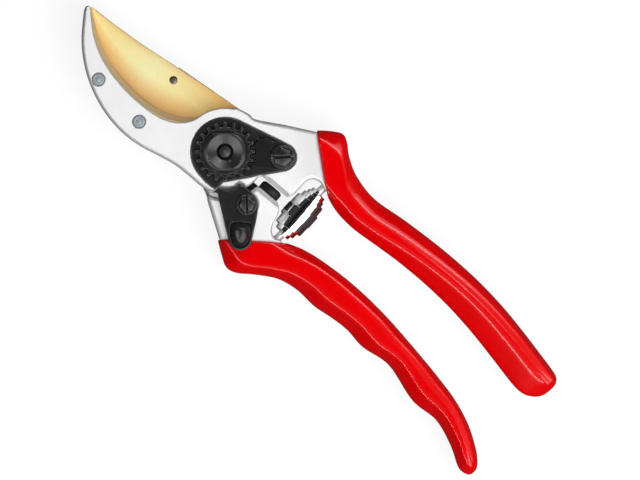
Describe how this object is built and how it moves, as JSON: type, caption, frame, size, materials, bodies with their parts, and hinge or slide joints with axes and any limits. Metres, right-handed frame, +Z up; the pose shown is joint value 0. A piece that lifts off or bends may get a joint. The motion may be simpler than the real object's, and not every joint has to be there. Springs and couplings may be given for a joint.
{
  "type": "pruning shears",
  "caption": "One-hand bypass pruning shears with a hooked counter blade, a geared pivot nut, a flat-strip return spring and a thumb catch.",
  "frame": {"origin": "on the pivot axis, at the flat rear face of the pivot bolt's head, which lies on the surface", "axes": "+Y from the pivot towards the blade tip, along the closed shears; +Z up, out of the side with the pivot nut, along the pivot; +X towards the cutting blade's back"},
  "size_m": [0.0621, 0.2126, 0.0232],
  "materials": {
    "forged_aluminium": "satin",
    "blade_coated": "gold titanium-nitride coating, brushed",
    "hardened_steel": "ground",
    "bright_steel": "satin",
    "black_steel": "black oxide, satin",
    "red_grip": "glossy dipped vinyl",
    "black_plastic": "gloss",
    "black_rubber": "matte",
    "spring_chrome": "bright",
    "bronze": "satin"
  },
  "bodies": {
    "hook_half": {"front_forging": "forged_aluminium", "hook_plate": "hardened_steel", "hook_rivets": "bright_steel", "front_grip": "red_grip", "teardrop_plate": "black_steel", "pivot_bolt": "bright_steel", "pivot_nut": "black_steel", "lock_segment": "black_steel", "segment_screw": "black_steel", "volute_spring": "spring_chrome"},
    "blade_half": {"rear_forging": "forged_aluminium", "cutting_blade": "blade_coated", "blade_pin": "bright_steel", "rear_grip": "red_grip", "thrust_washer": "bronze", "rubber_bumper": "black_rubber", "catch_screw": "black_steel", "catch_wave_washer": "bright_steel"},
    "catch": {"catch_lever": "black_steel", "thumb_pad": "black_plastic"}
  },
  "joints": [
    {"name": "pivot", "type": "hinge", "parent": "hook_half", "child": "blade_half", "pos_m": [0, 0, 0], "axis": [0, 0, -1], "range_deg": [0, 30], "deforming": ["volute_spring"]},
    {"name": "catch_hinge", "type": "hinge", "parent": "blade_half", "child": "catch", "pos_m": [-0.0077, -0.0186, 0.0188], "axis": [0, 0, 1], "range_deg": [0, 20]}
  ]
}
